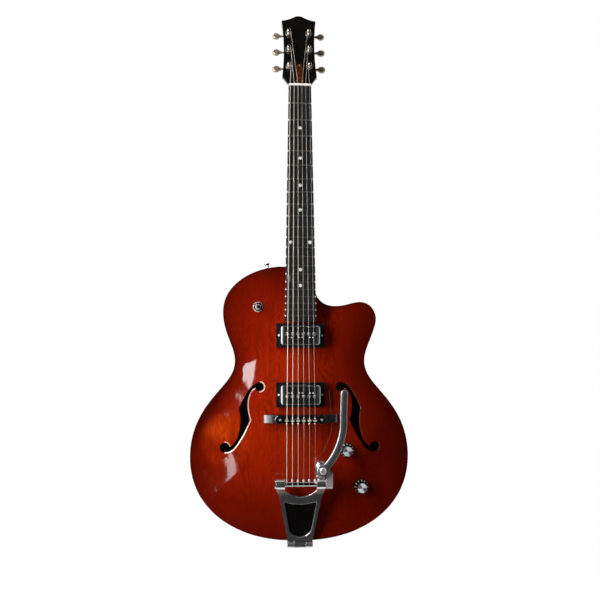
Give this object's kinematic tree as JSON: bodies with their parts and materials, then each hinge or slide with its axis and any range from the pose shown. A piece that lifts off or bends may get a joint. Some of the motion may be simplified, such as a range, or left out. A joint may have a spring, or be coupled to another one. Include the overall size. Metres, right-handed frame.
{
  "type": "archtop guitar",
  "caption": "Hollow-body archtop guitar with a single cutaway, f-shaped sound holes, two pickups, floating bridge and a spring vibrato tailpiece.",
  "frame": {"origin": "point on the tail end of the rim, on the centre line and at mid depth, where the strap button's screw enters", "axes": "+Z from the tail up the centre line to the head, -Y out of the top towards the player's audience, +X to the treble side with the cutaway"},
  "size_m": [0.401, 0.1526, 1.0365],
  "materials": {
    "red_top": "gloss",
    "red_back": "gloss",
    "red_sides": "gloss",
    "red_neck": "gloss",
    "inner_wood": "bare",
    "steel": "satin",
    "dark_board": "satin",
    "fret_wire": "polished",
    "pearl": "pearl",
    "bone": "satin",
    "black_lacquer": "gloss",
    "black_plastic": "gloss",
    "screw_nickel": "polished",
    "nickel": "polished",
    "bright_chrome": "polished",
    "black_insert": "satin",
    "coil": "wound",
    "dark_bridge": "satin",
    "satin_cast": "satin",
    "ball_brass": "polished",
    "string_steel": "polished",
    "knob": "gloss",
    "cable": "matte"
  },
  "bodies": {
    "guitar": {"top_plate": "red_top", "back_plate": "red_back", "rim": "red_sides", "neck": "red_neck", "linings": "inner_wood", "end_blocks": "inner_wood", "tone_bars": "inner_wood", "truss_rod": "steel", "fingerboard": "dark_board", "frets": "fret_wire", "position_dots": "pearl", "nut": "bone", "headstock_plate": "black_lacquer", "truss_rod_cover": "black_plastic", "headstock_screws": "screw_nickel", "tuner_housings": "nickel", "tuner_bushings": "nickel", "pickup_rings": "black_plastic", "pickup_covers": "bright_chrome", "pickup_inserts": "black_insert", "pickup_coils": "coil", "pickup_screws": "screw_nickel", "bridge_base": "dark_bridge", "bridge_studs": "steel", "tailpiece_frame": "satin_cast", "tailpiece_panel": "black_insert", "tailpiece_hinge": "bright_chrome", "hinge_pin": "steel", "bar_bushings": "ball_brass", "vibrato_spring": "bright_chrome", "strings": "string_steel", "control_pots": "steel", "selector_switch": "bright_chrome", "output_jack": "bright_chrome", "strap_buttons": "bright_chrome", "wiring_harness": "cable"},
    "vibrato": {"vibrato_bar": "bright_chrome", "string_ball_ends": "ball_brass", "arm_bracket": "satin_cast", "arm_screw": "bright_chrome"},
    "arm": {"vibrato_arm": "bright_chrome"},
    "bridge": {"bridge_body": "bright_chrome", "bridge_saddles": "bright_chrome"},
    "wheel_bass": {"thumbwheel_bass": "bright_chrome"},
    "wheel_treble": {"thumbwheel_treble": "bright_chrome"},
    "volume": {"volume_knob": "knob"},
    "tone": {"tone_knob": "knob"},
    "selector": {"selector_lever": "black_plastic"},
    "button_1": {"tuner_button_1": "nickel"},
    "post_1": {"tuner_post_1": "nickel"},
    "button_2": {"tuner_button_2": "nickel"},
    "post_2": {"tuner_post_2": "nickel"},
    "button_3": {"tuner_button_3": "nickel"},
    "post_3": {"tuner_post_3": "nickel"},
    "button_4": {"tuner_button_4": "nickel"},
    "post_4": {"tuner_post_4": "nickel"},
    "button_5": {"tuner_button_5": "nickel"},
    "post_5": {"tuner_post_5": "nickel"},
    "button_6": {"tuner_button_6": "nickel"},
    "post_6": {"tuner_post_6": "nickel"}
  },
  "joints": [
    {"name": "vibrato_rock", "type": "hinge", "parent": "guitar", "child": "vibrato", "pos_m": [0, -0.068, 0.108], "axis": [1, 0, 0], "range_deg": [-5, 4], "stiffness_Nm_per_rad": 8, "deforming": ["strings", "vibrato_spring"]},
    {"name": "arm_swing", "type": "hinge", "parent": "vibrato", "child": "arm", "pos_m": [0.0385, -0.0826, 0.134], "axis": [0, 1, 0], "range_deg": [-20, 110]},
    {"name": "bridge_lift", "type": "slide", "parent": "guitar", "child": "bridge", "axis": [0, -1, 0], "range_m": [-0.001, 0.002], "deforming": ["strings"]},
    {"name": "thumbwheel_bass_turn", "type": "hinge", "parent": "bridge", "child": "wheel_bass", "pos_m": [-0.0375, -0.068, 0.22233], "axis": [0, -1, 0], "range_deg": [-451, 901], "deforming": ["strings"]},
    {"name": "thumbwheel_treble_turn", "type": "hinge", "parent": "bridge", "child": "wheel_treble", "pos_m": [0.0375, -0.068, 0.22233], "axis": [0, -1, 0], "range_deg": [-451, 901], "deforming": ["strings"]},
    {"name": "volume_turn", "type": "hinge", "parent": "guitar", "child": "volume", "pos_m": [0.0852, -0.0581, 0.1641], "axis": [0, -1, 0], "range_deg": [-150, 150]},
    {"name": "tone_turn", "type": "hinge", "parent": "guitar", "child": "tone", "pos_m": [0.112, -0.0528, 0.0976], "axis": [0, -1, 0], "range_deg": [-150, 150]},
    {"name": "selector_tilt", "type": "hinge", "parent": "guitar", "child": "selector", "pos_m": [-0.078, -0.04228, 0.4263], "axis": [1, 0, 0], "range_deg": [-12, 12]},
    {"name": "tuner_button_1_turn", "type": "hinge", "parent": "guitar", "child": "button_1", "pos_m": [-0.02, 0.00152, 0.90014], "axis": [-1, 0, 0], "continuous": true},
    {"name": "tuner_post_1_turn", "type": "hinge", "parent": "guitar", "child": "post_1", "pos_m": [-0.02, -0.01882, 0.89705], "axis": [0, -0.9548, 0.2974], "continuous": true},
    {"name": "tuner_button_2_turn", "type": "hinge", "parent": "guitar", "child": "button_2", "pos_m": [-0.02, 0.01386, 0.93976], "axis": [-1, 0, 0], "continuous": true},
    {"name": "tuner_post_2_turn", "type": "hinge", "parent": "guitar", "child": "post_2", "pos_m": [-0.02, -0.00648, 0.93667], "axis": [0, -0.9548, 0.2974], "continuous": true},
    {"name": "tuner_button_3_turn", "type": "hinge", "parent": "guitar", "child": "button_3", "pos_m": [-0.02, 0.0262, 0.97938], "axis": [-1, 0, 0], "continuous": true},
    {"name": "tuner_post_3_turn", "type": "hinge", "parent": "guitar", "child": "post_3", "pos_m": [-0.02, 0.00586, 0.97629], "axis": [0, -0.9548, 0.2974], "continuous": true},
    {"name": "tuner_button_4_turn", "type": "hinge", "parent": "guitar", "child": "button_4", "pos_m": [0.02, 0.00152, 0.90014], "axis": [1, 0, 0], "continuous": true},
    {"name": "tuner_post_4_turn", "type": "hinge", "parent": "guitar", "child": "post_4", "pos_m": [0.02, -0.01882, 0.89705], "axis": [0, -0.9548, 0.2974], "continuous": true},
    {"name": "tuner_button_5_turn", "type": "hinge", "parent": "guitar", "child": "button_5", "pos_m": [0.02, 0.01386, 0.93976], "axis": [1, 0, 0], "continuous": true},
    {"name": "tuner_post_5_turn", "type": "hinge", "parent": "guitar", "child": "post_5", "pos_m": [0.02, -0.00648, 0.93667], "axis": [0, -0.9548, 0.2974], "continuous": true},
    {"name": "tuner_button_6_turn", "type": "hinge", "parent": "guitar", "child": "button_6", "pos_m": [0.02, 0.0262, 0.97938], "axis": [1, 0, 0], "continuous": true},
    {"name": "tuner_post_6_turn", "type": "hinge", "parent": "guitar", "child": "post_6", "pos_m": [0.02, 0.00586, 0.97629], "axis": [0, -0.9548, 0.2974], "continuous": true}
  ],
  "couplings": [
    {"joint": "thumbwheel_bass_turn", "follows": "bridge_lift", "rad_per_m": 7854},
    {"joint": "thumbwheel_treble_turn", "follows": "bridge_lift", "rad_per_m": 7854},
    {"joint": "tuner_post_1_turn", "follows": "tuner_button_1_turn", "ratio": -0.066667},
    {"joint": "tuner_post_2_turn", "follows": "tuner_button_2_turn", "ratio": -0.066667},
    {"joint": "tuner_post_3_turn", "follows": "tuner_button_3_turn", "ratio": -0.066667},
    {"joint": "tuner_post_4_turn", "follows": "tuner_button_4_turn", "ratio": 0.066667},
    {"joint": "tuner_post_5_turn", "follows": "tuner_button_5_turn", "ratio": 0.066667},
    {"joint": "tuner_post_6_turn", "follows": "tuner_button_6_turn", "ratio": 0.066667}
  ]
}
